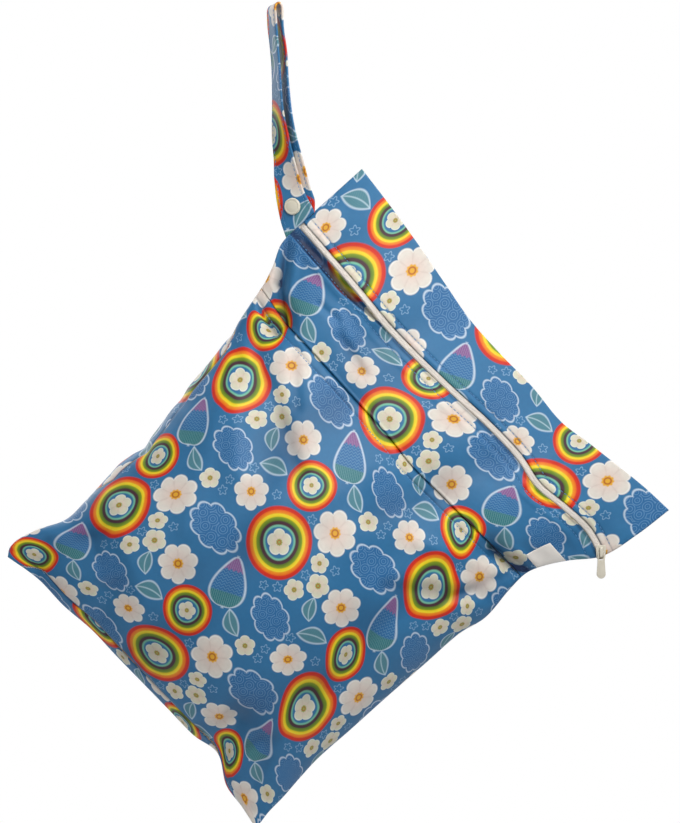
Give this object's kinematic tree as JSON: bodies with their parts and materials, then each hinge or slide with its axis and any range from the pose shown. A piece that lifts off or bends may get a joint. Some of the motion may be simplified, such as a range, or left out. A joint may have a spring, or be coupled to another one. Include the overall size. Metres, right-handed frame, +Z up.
{
  "type": "cloth diaper wet bag",
  "caption": "Stuffed cloth wet bag with a zip across its front, hanging askew from a doubled snap strap at one upper corner.",
  "frame": {"origin": "the inside top of the strap's loop, where a hook or knob holds the bag", "axes": "+Z up as the bag hangs, -Y out of the zipped front, +X to the right seen from the front"},
  "size_m": [0.4408, 0.1028, 0.5497],
  "materials": {
    "printed_cloth": "smooth printed polyester with a coated back, soft satin",
    "zip_cream": "woven tape and nylon coil, satin",
    "ivory_plastic": "smooth moulded, soft gloss",
    "label_white": "matt woven tab"
  },
  "bodies": {
    "bag": {"top_panel": "printed_cloth", "zip_band": "printed_cloth", "lower_front": "printed_cloth", "back_panel": "printed_cloth", "strap": "printed_cloth", "zip_tape": "zip_cream", "zip_coil": "zip_cream", "zip_slider": "ivory_plastic", "snap_cap": "ivory_plastic", "snap_back": "ivory_plastic", "side_label": "label_white"},
    "zip_pull": {"zip_pull": "ivory_plastic"}
  },
  "joints": [
    {"name": "zip_pull_swing", "type": "hinge", "parent": "bag", "child": "zip_pull", "pos_m": [0.21668, -0.00843, -0.36378], "axis": [-1, 0, 0], "range_deg": [0, 150]}
  ]
}
